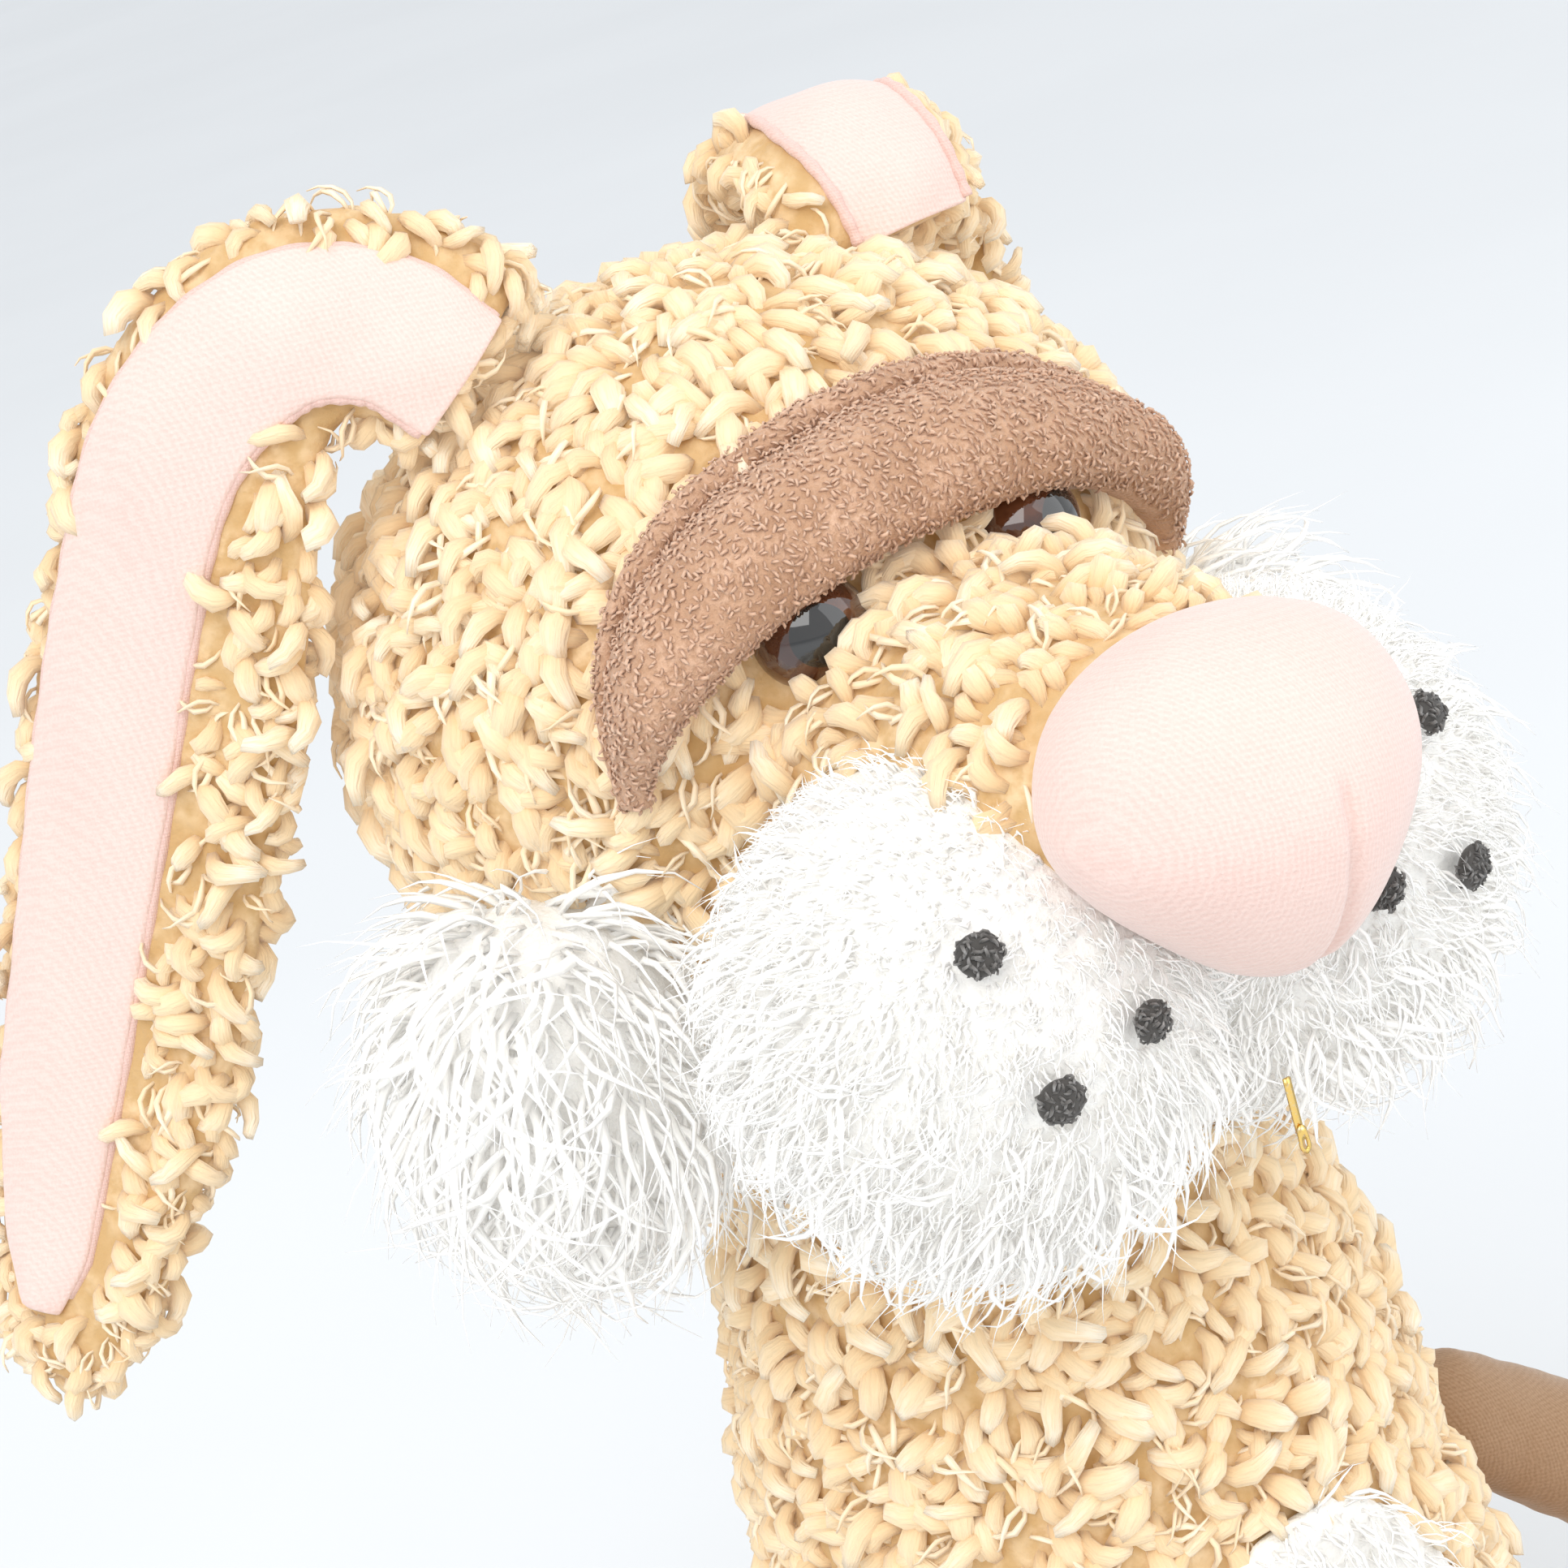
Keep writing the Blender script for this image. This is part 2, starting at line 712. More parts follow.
@dataclass
class Ground:
    """Points spread evenly over a surface, each with the surface's direction there."""

    points: np.ndarray
    normals: np.ndarray

    @classmethod
    def over(cls, piece: bpy.types.Object, spacing: float, seed: int) -> "Ground":
        """Spreads points over a piece.

        Args:
            piece: The piece, with its modifiers already baked.
            spacing: Least distance between two points.
            seed: Seed of the random draws.

        Returns:
            The points and their normals.
        """
        rng = np.random.default_rng(seed)
        mesh = piece.data
        mesh.calc_loop_triangles()
        co = np.empty(len(mesh.vertices) * 3)
        mesh.vertices.foreach_get("co", co)
        co = co.reshape(-1, 3)
        facing = np.empty(len(mesh.vertices) * 3)
        mesh.vertices.foreach_get("normal", facing)
        facing = facing.reshape(-1, 3)
        tris = np.empty(len(mesh.loop_triangles) * 3, int)
        mesh.loop_triangles.foreach_get("vertices", tris)
        tris = tris.reshape(-1, 3)
        a, b, c = co[tris[:, 0]], co[tris[:, 1]], co[tris[:, 2]]
        areas = np.linalg.norm(np.cross(b - a, c - a), axis=1) / 2
        count = int(areas.sum() / spacing ** 2 * 5)
        pick = rng.choice(len(tris), count, p=areas / areas.sum())
        u, v = rng.random((2, count))
        over = u + v > 1
        u[over], v[over] = 1 - u[over], 1 - v[over]
        w = np.stack([1 - u - v, u, v], 1)[:, :, None]
        points = (co[tris[pick]] * w).sum(1)
        normals = (facing[tris[pick]] * w).sum(1)
        normals /= np.linalg.norm(normals, axis=1, keepdims=True)
        kept, cells = [], {}
        for i, p in enumerate(points):
            cell = tuple((p // spacing).astype(int))
            near = (cells.get((cell[0] + x, cell[1] + y, cell[2] + z), ())
                    for x in (-1, 0, 1) for y in (-1, 0, 1) for z in (-1, 0, 1))
            if all(np.dot(p - points[j], p - points[j]) > spacing ** 2 for js in near for j in js):
                cells.setdefault(cell, []).append(i)
                kept.append(i)
        return cls(points[kept], normals[kept])

    def where(self, test: Callable[[Vector, Vector], bool]) -> "Ground":
        """The points at which a test of place and direction holds."""
        good = [test(Vector(p), Vector(n)) for p, n in zip(self.points, self.normals)]
        good = np.array(good, bool)
        return Ground(self.points[good], self.normals[good])


class Clearance:
    """Keeps pile away from what is sewn onto a panel."""

    def __init__(self, *pieces: bpy.types.Object) -> None:
        """Takes the pieces' shapes.

        Args:
            pieces: What the pile keeps clear of.
        """
        graph = bpy.context.evaluated_depsgraph_get()
        self.trees = [BVHTree.FromObject(piece, graph) for piece in pieces]

    def distance(self, point: Vector) -> float:
        """How far a point is from the nearest piece, negative inside one."""
        best = FAR
        for tree in self.trees:
            near, normal, _, far = tree.find_nearest(point)
            if near is not None:
                inside = (point - near).dot(normal) < 0
                best = min(best, -far if inside else far)
        return best


def grow(name: str, ground: Ground, tufts: Sequence[bpy.types.Mesh], material: bpy.types.Material,
         seed: int, flow: Callable[[Vector, Vector], Vector], wander: float = 1.0,
         size: Callable[[Vector], float] = lambda point: 1.0, sink: float = 0.6 * MM,
         lean: float = 0.25) -> bpy.types.Object:
    """Plants a tuft on every point of the ground.

    Args:
        name: The new piece's name.
        ground: Where the tufts stand.
        tufts: The tufts to draw from.
        material: The pile's finish.
        seed: Seed of the random draws.
        flow: Gives the way that the pile lies from a place and its direction.
        wander: How far, in radians, a tuft may turn away from the flow.
        size: Gives the tufts' size at a place.
        sink: How deep the roots stand in the cloth.
        lean: How far tufts tip towards the flow.

    Returns:
        The pile as one piece.
    """
    rng = np.random.default_rng(seed)
    shapes = []
    for tuft in tufts:
        scratch = tuft.copy()
        co = np.empty(len(scratch.vertices) * 3, np.float32)
        scratch.vertices.foreach_get("co", co)
        shapes.append((scratch, co.reshape(-1, 3).copy()))
    bm = bmesh.new()
    for p, n in zip(ground.points, ground.normals):
        scratch, co = shapes[int(rng.integers(len(shapes)))]
        point, up = Vector(p), Vector(n)
        ahead = flow(point, up)
        ahead = ahead - up * ahead.dot(up)
        if ahead.length < 1e-6:
            ahead = up.orthogonal()
        ahead = Matrix.Rotation(float(rng.normal(0, wander)), 3, up) @ ahead.normalized()
        axis = (up + ahead * lean * float(rng.uniform(0.3, 1.6))).normalized()
        ahead = (ahead - axis * ahead.dot(axis)).normalized()
        turn = np.array([ahead, axis.cross(ahead), axis])
        scale = size(point) * float(rng.uniform(0.78, 1.25))
        moved = co @ (turn * scale) + (p - n * sink)
        scratch.vertices.foreach_set("co", moved.astype(np.float32).ravel())
        tone = np.full(len(co), rng.random(), np.float32)
        scratch.attributes["tone"].data.foreach_set("value", tone)
        bm.from_mesh(scratch)
    for scratch, _ in shapes:
        bpy.data.meshes.remove(scratch)
    piece = to_object(name, bm, material)
    log.info("%s: %d tufts, %d faces", name, len(ground.points), len(piece.data.polygons))
    return piece


def downwards(point: Vector, normal: Vector) -> Vector:
    """Pile that hangs."""
    return -UP


def tuft(name: str, strands: Sequence[tuple[float, float, float, float]], spread: float = 0.0,
         **shape: float) -> bpy.types.Mesh:
    """Builds one kind of tuft.

    Args:
        name: The tuft's name.
        strands: Length, radius, curl and sway of each strand, with its lengths in millimetres.
        spread: How far the other strands stand from the first, in millimetres.
        shape: What else the strands share.

    Returns:
        The tuft's mesh.
    """
    made = tuple(Strand(length * MM, radius * MM, curl, sway=sway * MM, **shape)
                 for length, radius, curl, sway in strands)
    return Tuft(made, spread * MM).mesh(name)


class PileKit:
    """The tufts that the panels are planted with."""

    def __init__(self) -> None:
        """Builds the tufts."""
        curl = {"sides": 5, "tip": 0.6}
        wisp = {"sides": 3, "tip": 0.25, "pale": 0.7}
        fuzz = {"sides": 3, "rings": 3, "root": 1.0, "belly": 0.1, "tip": 0.15}
        fur = {"sides": 3, "rings": 5, "root": 0.9, "belly": 0.25, "tip": 0.1}
        loop = {"sides": 3, "rings": 3, "root": 0.9}
        self.curls = [
            tuft("curl_round", [(7.4, 1.6, 2.9, 0.9)], sides=5, rings=5, tip=0.62),
            tuft("curl_fat", [(6.6, 1.8, 2.3, 0.0)], sides=5, rings=4, tip=0.68),
            tuft("curl_tight", [(8.8, 1.3, 3.6, -1.1)], rings=6, **curl),
            tuft("curl_long", [(7.8, 1.4, 1.8, -0.8)], rings=4, **curl),
        ]
        self.wisps = [
            tuft("wisp_pair", [(8.5, 0.5, 2.6, 1.2), (7.5, 0.4, 1.9, -1.0)], 0.8, rings=5, **wisp),
            tuft("wisp_loop", [(9.5, 0.45, 3.3, 1.0)], **wisp),
        ]
        self.fuzz = [
            tuft("fuzz_short", [(3.6, 0.22, 1.0, 0.4), (3.1, 0.22, 1.5, -0.4), (2.7, 0.22, 0.6, 0.2),
                                (3.4, 0.22, 1.9, 0.5)], 0.55, **fuzz),
            tuft("fuzz_long", [(4.4, 0.2, 1.4, -0.5), (3.3, 0.2, 0.9, 0.5), (3.9, 0.2, 1.8, 0.3)], 0.6,
                 **fuzz),
        ]
        self.fur = [
            tuft("fur_lock", [(9.0, 0.42, 1.3, 0.9), (7.5, 0.3, 1.7, -0.9), (8.2, 0.2, 0.9, 0.6)], 0.7,
                 **fur),
            tuft("fur_wisp", [(10.5, 0.32, 1.9, -1.3), (8.0, 0.22, 1.1, 1.1), (9.3, 0.14, 0.7, 0.7)],
                 0.8, **fur),
        ]
        self.loops = [
            tuft("terry_loop", [(1.5, 0.2, 3.4, 0.0)], tip=0.6, **loop),
            tuft("terry_stub", [(1.2, 0.22, 2.2, 0.0)], tip=0.5, **loop),
        ]


# ---------------------------------------------------------------- sub-assemblies


@dataclass
class Workshop:
    """What every sub-assembly is made with."""

    finishes: Finishes
    kit: PileKit

    def plant_curls(self, name: str, ground: Ground, seed: int, body: str,
                    flow: Callable[[Vector, Vector], Vector] = downwards,
                    size: Callable[[Vector], float] = lambda point: 1.0) -> bpy.types.Object:
        """Plants curly fleece on a panel and lets it ride on a body.

        Args:
            name: The new piece's name.
            ground: Where the tufts stand.
            seed: Seed of the random draws.
            body: The body that it rides on.
            flow: Gives the way that the pile lies from a place and its direction.
            size: Gives the tufts' size at a place.

        Returns:
            The pile as one piece.
        """
        tufts = self.kit.curls * 3 + self.kit.wisps * 2
        piece = grow(name, ground, tufts, self.finishes.fleece, seed, flow, 1.0, size, lean=0.75)
        fit(piece, body, "curly_fleece")
        return piece

    def plant_fur(self, name: str, ground: Ground, seed: int, body: str,
                  flow: Callable[[Vector, Vector], Vector], size: Callable[[Vector], float],
                  tufts: Sequence[bpy.types.Mesh], lean: float = 0.5) -> bpy.types.Object:
        """Plants white fur on a panel and lets it ride on a body.

        Args:
            name: The new piece's name.
            ground: Where the tufts stand.
            seed: Seed of the random draws.
            body: The body that it rides on.
            flow: Gives the way that the pile lies from a place and its direction.
            size: Gives the tufts' size at a place.
            tufts: The tufts to draw from.
            lean: How far tufts tip towards the flow.

        Returns:
            The pile as one piece.
        """
        piece = grow(name, ground, tufts, self.finishes.fur, seed, flow, 0.6, size, 0.3 * MM, lean)
        fit(piece, body, "white_fur")
        return piece


@dataclass
class Eyelid:
    """The padded terry eyelid: one crescent across both eyes."""

    shop: Workshop
    centre_z: float = 229 * MM
    upper: tuple[float, float, float] = (38.5 * MM, 33 * MM, 0.75)
    lower: tuple[float, float, float] = (36.5 * MM, 18.0 * MM, 1.15)
    skull: tuple[float, float, float] = (53 * MM, 44 * MM, 46 * MM)
    skull_at: tuple[float, float, float] = (0.0, 21 * MM, 230 * MM)
    profile: tuple[tuple[float, float], ...] = (
        (0.0, 1.2), (0.02, 3.2), (0.06, 4.0), (0.12, 3.9), (0.155, 2.6), (0.19, 3.6), (0.28, 6.4),
        (0.42, 8.6), (0.6, 9.8), (0.8, 9.6), (0.95, 8.0), (1.02, 5.8), (1.0, 3.6), (0.9, 1.6),
    )

    def arc(self, size: tuple[float, float, float], phase: float) -> tuple[float, float]:
        """X and Z of one of the crescent's two arcs."""
        half, rise, power = size
        return half * math.sin(phase), self.centre_z + rise * max(math.cos(phase), 0.0) ** power

    def point(self, u: float, v: float) -> Vector:
        """Surface of the lid, u along it from right to left, v across it from its upper edge."""
        phase = (u - 0.5) * math.pi
        place = v * (len(self.profile) - 1)
        across = along([(i, p[0]) for i, p in enumerate(self.profile)], place)
        lift = along([(i, p[1]) for i, p in enumerate(self.profile)], place) * MM
        top = self.arc(self.upper, phase)
        low = self.arc(self.lower, phase)
        x = top[0] + (low[0] - top[0]) * across
        z = top[1] + (low[1] - top[1]) * across
        ends = ramp(0.0, 0.16, min(u, 1 - u))
        margin = 3.2 * MM * ramp(0.0, 0.03, across)
        lift = margin + (lift - margin) * (0.15 + 0.85 * ends) if lift > margin else lift
        lift += 0.35 * MM * math.sin(37 * u + 3 * v) * math.sin(9 * v + 11 * u) * ends
        ax, ay, az = self.skull
        cx, cy, cz = self.skull_at
        inside = max(1 - ((x - cx) / ax) ** 2 - ((z - cz) / az) ** 2, 0.02)
        y = cy - ay * math.sqrt(inside)
        normal = Vector(((x - cx) / ax ** 2, (y - cy) / ay ** 2, (z - cz) / az ** 2)).normalized()
        return Vector((x, y, z)) + normal * lift

    def build(self) -> bpy.types.Object:
        """Makes the lid and its loops.

        Returns:
            The lid's cloth.
        """
        bm = bmesh.new()
        add_sheet(bm, 110, 42, self.point)
        cloth = thicken(to_object("eyelid", outward(bm), self.shop.finishes.terry_cloth), 0.7 * MM, 1)
        self.face_forwards(cloth)
        fit(cloth, Body.HEAD.value, "brown_terry", "eyelid_cover", "eyelid_wadding", fill=0.7)
        front = self.skull_at[1]
        ground = Ground.over(cloth, 0.72 * MM, 71).where(
            lambda p, n: n.y < 0.35 and (p - Vector(self.skull_at)).dot(n) > 0 and p.y < front)
        loops = grow("eyelid_loops", ground, self.shop.kit.loops, self.shop.finishes.terry, 72,
                     downwards, 1.2, sink=0.1 * MM)
        fit(loops, Body.HEAD.value, "brown_terry")
        return cloth

    def face_forwards(self, piece: bpy.types.Object) -> None:
        """Leaves the shell's faces outwards after it was thickened."""
        bm = bmesh.new()
        bm.from_mesh(piece.data)
        outward(bm)
        bm.to_mesh(piece.data)
        bm.free()


@dataclass
class Nose:
    """The big velour nose, a rounded triangle with a seam down its front."""

    shop: Workshop
    centre: tuple[float, float, float] = (0.0, -69.0, 222.5)
    half: tuple[float, float, float] = (22.5, 18.0, 21.0)
    seam_depth: float = 1.3 * MM
    seam_width: float = 0.9 * MM
    seam_fade: tuple[float, float] = (228 * MM, 223 * MM)
    seam_front: tuple[float, float] = (-69 * MM, -73 * MM)

    def shape(self, co: Vector) -> Vector:
        """Moves a point of the round form to the sewn one."""
        centre = Vector(self.centre) * MM
        x, y, z = ((co[i] - centre[i]) / (self.half[i] * MM) for i in range(3))
        wide = 1.0 - 0.38 * ramp(0.2, -1.0, z) if z < 0.2 else 1.0 + 0.04 * ramp(0.2, 0.7, z)
        bulge = 1.0 + 0.10 * math.exp(-((x / 0.55) ** 2) - ((z - 0.15) / 0.6) ** 2)
        flat = 0.94 if z > 0.55 else 1.0
        tall = 0.06 * flat + 0.94 * (1 - 0.06 * ramp(0.5, 1.0, z))
        moved = Vector((x * wide, y * bulge, z * tall))
        return centre + Vector(moved[i] * self.half[i] * MM for i in range(3))

    def build(self) -> bpy.types.Object:
        """Makes the nose, puffs it and draws its seam in."""
        bm = bmesh.new()
        for v in add_ellipsoid(bm, self.centre, self.half, 64, 48):
            v.co = self.shape(v.co)
        nose = puff(to_object("nose", outward(bm), self.shop.finishes.velour), 2.2 * MM, 3.0, 0.8 * MM)
        bm = bmesh.new()
        bm.from_mesh(nose.data)
        near = [e for e in bm.edges if all(abs(v.co.x) < 3.2 * MM and v.co.y < self.seam_front[1]
                                           and v.co.z < self.seam_fade[0] for v in e.verts)]
        bmesh.ops.subdivide_edges(bm, edges=near, cuts=2, use_grid_fill=True)
        for v in bm.verts:
            along_seam = ramp(*self.seam_fade, v.co.z) * ramp(*self.seam_front, v.co.y)
            groove = math.exp(-((v.co.x / self.seam_width) ** 2)) * along_seam
            v.co += Vector((0, 0.8, 0.45)) * self.seam_depth * groove
        bmesh.ops.smooth_vert(bm, verts=bm.verts, factor=0.25, use_axis_x=True, use_axis_y=True,
                              use_axis_z=True)
        for face in bm.faces:
            face.smooth = True
        bm.to_mesh(nose.data)
        bm.free()
        fit(nose, Body.HEAD.value, "pink_velour", "nose_cover", "nose_stuffing", fill=0.9)
        return nose


@dataclass
class Muzzle:
    """The two furry pads beside the nose, with their dots and the pin between them."""

    shop: Workshop
    centre: tuple[float, float, float] = (22.0, -41.0, 202.0)
    half: tuple[float, float, float] = (27.0, 25.5, 29.0)
    dots: tuple[tuple[float, float, float], ...] = ((31, 216, 2.9), (17, 203, 2.8), (29, 200, 3.1))
    dot_room: float = 2.9 * MM
    back_edge: float = -16 * MM
    fuzz_spacing: float = 1.55 * MM
    fur_spacing: float = 2.5 * MM

    def pad(self, side: Side) -> bpy.types.Object:
        """The cloth of one pad, as deep as its pile lets it show."""
        bm = bmesh.new()
        add_ellipsoid(bm, side.place(self.centre), self.half)
        piece = to_object("muzzle_" + side.word, outward(bm), self.shop.finishes.fur_cloth)
        fit(piece, Body.HEAD.value, "white_fur", "muzzle_cover_" + side.word,
            "muzzle_stuffing_" + side.word, fill=0.8)
        return piece

    def outwards(self, side: Side) -> Callable[[Vector, Vector], Vector]:
        """The pile lies away from the nose, and down."""
        nose = Vector((0.0, -70 * MM, 226 * MM))
        return lambda point, normal: (point - nose).normalized() + Vector((0, 0, -0.35))

    def dot(self, side: Side, index: int) -> tuple[Vector, Vector]:
        """Middle and direction of one dot on its pad."""
        x, z, _ = self.dots[index]
        dx = (x - self.centre[0]) / self.half[0]
        dz = (z - self.centre[2]) / self.half[2]
        depth = math.sqrt(1 - dx * dx - dz * dz)
        middle = Vector((x, self.centre[1] - depth * self.half[1], z)) * MM
        out = Vector((dx / self.half[0], -depth / self.half[1], dz / self.half[2])).normalized()
        return side.place(middle), side.place(out)

    def build_dots(self, side: Side) -> bpy.types.Object:
        """Three satin-stitched dots, each a low dome of crossing threads."""
        domes = bmesh.new()
        for index, (_, _, radius) in enumerate(self.dots):
            middle, out = self.dot(side, index)
            turn = out.to_track_quat("Z", "Y").to_matrix().to_4x4()
            size = Matrix.Diagonal((radius * 0.88 * MM, radius * 0.82 * MM, 1.1 * MM, 1.0))
            place = Matrix.Translation(middle + out * 2.3 * MM) @ turn @ size
            bmesh.ops.create_uvsphere(domes, u_segments=24, v_segments=12, radius=1.0, matrix=place)
        name = "whisker_dots_" + side.word
        dome = to_object(name + "_base", outward(domes), self.shop.finishes.thread)
        ground = Ground.over(dome, 0.5 * MM, 31).where(lambda p, n: n.y < 0.2)
        threads = grow("whisker_threads_" + side.word, ground, self.shop.kit.loops,
                       self.shop.finishes.thread, 32, downwards, 3.0, sink=0.1 * MM, lean=1.0)
        fit(dome, Body.HEAD.value, "dot_thread", name)
        fit(threads, Body.HEAD.value, "dot_thread")
        return dome

    def build(self, nose: bpy.types.Object) -> list[bpy.types.Object]:
        """Makes both pads with their pile.

        Args:
            nose: The nose, which the pile keeps clear of.

        Returns:
            The two pads.
        """
        pads = {side: self.pad(side) for side in Side}
        for side, pad in pads.items():
            other = pads[Side.LEFT if side is Side.RIGHT else Side.RIGHT]
            clear = Clearance(nose, other)
            flow = self.outwards(side)
            self.build_dots(side)
            spots = [self.dot(side, index)[0] for index in range(len(self.dots))]

            def open_pad(p: Vector, n: Vector) -> bool:
                """True where pile may stand."""
                off_dots = min((p - s).length for s in spots) > self.dot_room
                return p.y < self.back_edge and clear.distance(p) > 0.3 * MM and off_dots

            def length(p: Vector) -> float:
                """Pile is short near the nose and long low down and at the sides."""
                low = ramp(215 * MM, 180 * MM, p.z)
                out = ramp(28 * MM, 46 * MM, abs(p.x))
                return 0.42 + 0.75 * max(low, 0.8 * out)

            short = Ground.over(pad, self.fuzz_spacing, 41 + side.value).where(open_pad)
            self.shop.plant_fur("muzzle_fuzz_" + side.word, short, 43, Body.HEAD.value, flow,
                                lambda p: 1.0, self.shop.kit.fuzz, 0.4)
            longs = Ground.over(pad, self.fur_spacing, 45 + side.value).where(open_pad)
            self.shop.plant_fur("muzzle_fur_" + side.word, longs, 47, Body.HEAD.value, flow, length,
                                self.shop.kit.fur, 0.6)
        self.build_pin()
        return list(pads.values())

    def build_pin(self) -> bpy.types.Object:
        """The flat gilt pin with an oval eye that hangs between the pads."""
        low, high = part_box("muzzle_pin")
        middle = (low + high) / 2
        bm = bmesh.new()
        outer = bmesh.ops.create_circle(bm, segments=32, radius=1.0)["verts"]
        inner = bmesh.ops.create_circle(bm, segments=32, radius=1.0)["verts"]
        for ring, half_x, half_z in ((outer, 0.7 * MM, 1.15 * MM), (inner, 0.36 * MM, 0.62 * MM)):
            for v in ring:
                lift = 1.2 * MM if ring is outer and v.co.y > 0.4 else 0.0
                v.co = Vector((v.co.x * half_x, 0.0, v.co.y * half_z + lift))
        bmesh.ops.bridge_loops(bm, edges=bm.edges[:])
        stem = bmesh.ops.create_grid(bm, x_segments=1, y_segments=6, size=0.5)["verts"]
        for v in stem:
            v.co = Vector((v.co.x * 0.9 * MM, 0.0, (v.co.y + 0.5) * 6.5 * MM + 1.6 * MM))
        bmesh.ops.translate(bm, verts=bm.verts, vec=Vector((0, middle.y, low.z + 1.2 * MM)))
        pin = to_object("muzzle_pin_gilt", bm, self.shop.finishes.gilt)
        thicken(pin, 0.35 * MM)
        fit(pin, Body.HEAD.value, "gilt_pin", "muzzle_pin")
        return pin


@dataclass
class Ruffs:
    """Long white fur at the corners of the jaw."""

    shop: Workshop
    shift: tuple[float, float, float] = (2.0, 0.0, -2.0)
    margin: tuple[float, float, float] = (2.0, 1.0, 1.0)
    spacing: float = 2.4 * MM

    def build(self) -> list[bpy.types.Object]:
        """Makes both ruffs."""
        made = []
        for side in Side:
            low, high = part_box("cheek_ruff_" + side.word)
            bm = bmesh.new()
            centre = (low + high) / 2 / MM + side.place(self.shift)
            half = (high - low) / 2 / MM + Vector(self.margin)
            add_ellipsoid(bm, centre, half)
            base = to_object("ruff_" + side.word, outward(bm), self.shop.finishes.fur_cloth)
            fit(base, Body.HEAD.value, "white_fur", "cheek_ruff_" + side.word, fill=0.5)
            ground = Ground.over(base, self.spacing, 51 + side.value)
            self.shop.plant_fur("ruff_fur_" + side.word, ground, 53, Body.HEAD.value,
                                lambda p, n: Vector((side.value * 0.3, -0.1, -1.0)), lambda p: 1.7,
                                self.shop.kit.fur, 0.9)
            made.append(base)
        return made


@dataclass
class Head:
    """Skull and snout under curly fleece, with the eyes."""

    shop: Workshop
    skull: tuple[tuple[float, ...], ...] = ((0, 21, 230), (53, 44, 46))
    snout: tuple[tuple[float, ...], ...] = ((0, -25, 222), (27, 50, 21))
    stub: tuple[float, float, float] = (31, 184, 202)
    spacing: float = 1.9 * MM

    def form(self) -> bpy.types.Object:
        """The cloth of the skull, snout and neck stub as one surface."""
        bm = bmesh.new()
        add_ellipsoid(bm, *self.skull)
        add_ellipsoid(bm, *self.snout)
        radius, low, high = (size * MM for size in self.stub)
        add_tube(bm, 48, 6, lambda s, a: Vector((
            radius * math.cos(a), 2 * MM + radius * math.sin(a), low + (high - low) * s)))
        return remesh(to_object("head_cloth", outward(bm), self.shop.finishes.fleece_cloth), 1.6 * MM, 6)

    def panel(self, point: Vector) -> str:
        """The panel of the pattern that a place belongs to."""
        if point.y < -14 * MM and abs(point.x) < 27 * MM:
            return "snout"
        if point.z > 252 * MM:
            return "crown"
        if point.y > 36 * MM:
            return "nape"
        return "cheek_left" if point.x > 0 else "cheek_right"

    def flow(self, point: Vector, normal: Vector) -> Vector:
        """The pile lies down and outwards, and back along the snout."""
        if self.panel(point) == "snout":
            return Vector((0.6 * math.copysign(1, point.x), 0.5, 0.2))
        return Vector((point.x / (60 * MM), 0.2, -1.0))

    def build(self, sewn_on: Sequence[bpy.types.Object]) -> None:
        """Makes the head.

        Args:
            sewn_on: Pieces that lie on the head, which its pile keeps clear of.
        """
        cloth = self.form()
        fit(cloth, Body.HEAD.value, "curly_fleece", "head_cover", "head_stuffing")
        eyes = [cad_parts["eye_" + side.word] for side in Side]
        clear = Clearance(*sewn_on)
        near_eyes = Clearance(*eyes)
        ground = Ground.over(cloth, self.spacing, 61).where(
            lambda p, n: clear.distance(p) > 0.6 * MM and near_eyes.distance(p) > 2.2 * MM)
        for index, name in enumerate(("snout", "crown", "nape", "cheek_left", "cheek_right")):
            part = ground.where(lambda p, n: self.panel(p) == name)
            self.shop.plant_curls("fleece_" + name, part, 62 + index, Body.HEAD.value, self.flow,
                                  lambda p: 0.95 if name == "snout" else 1.0)


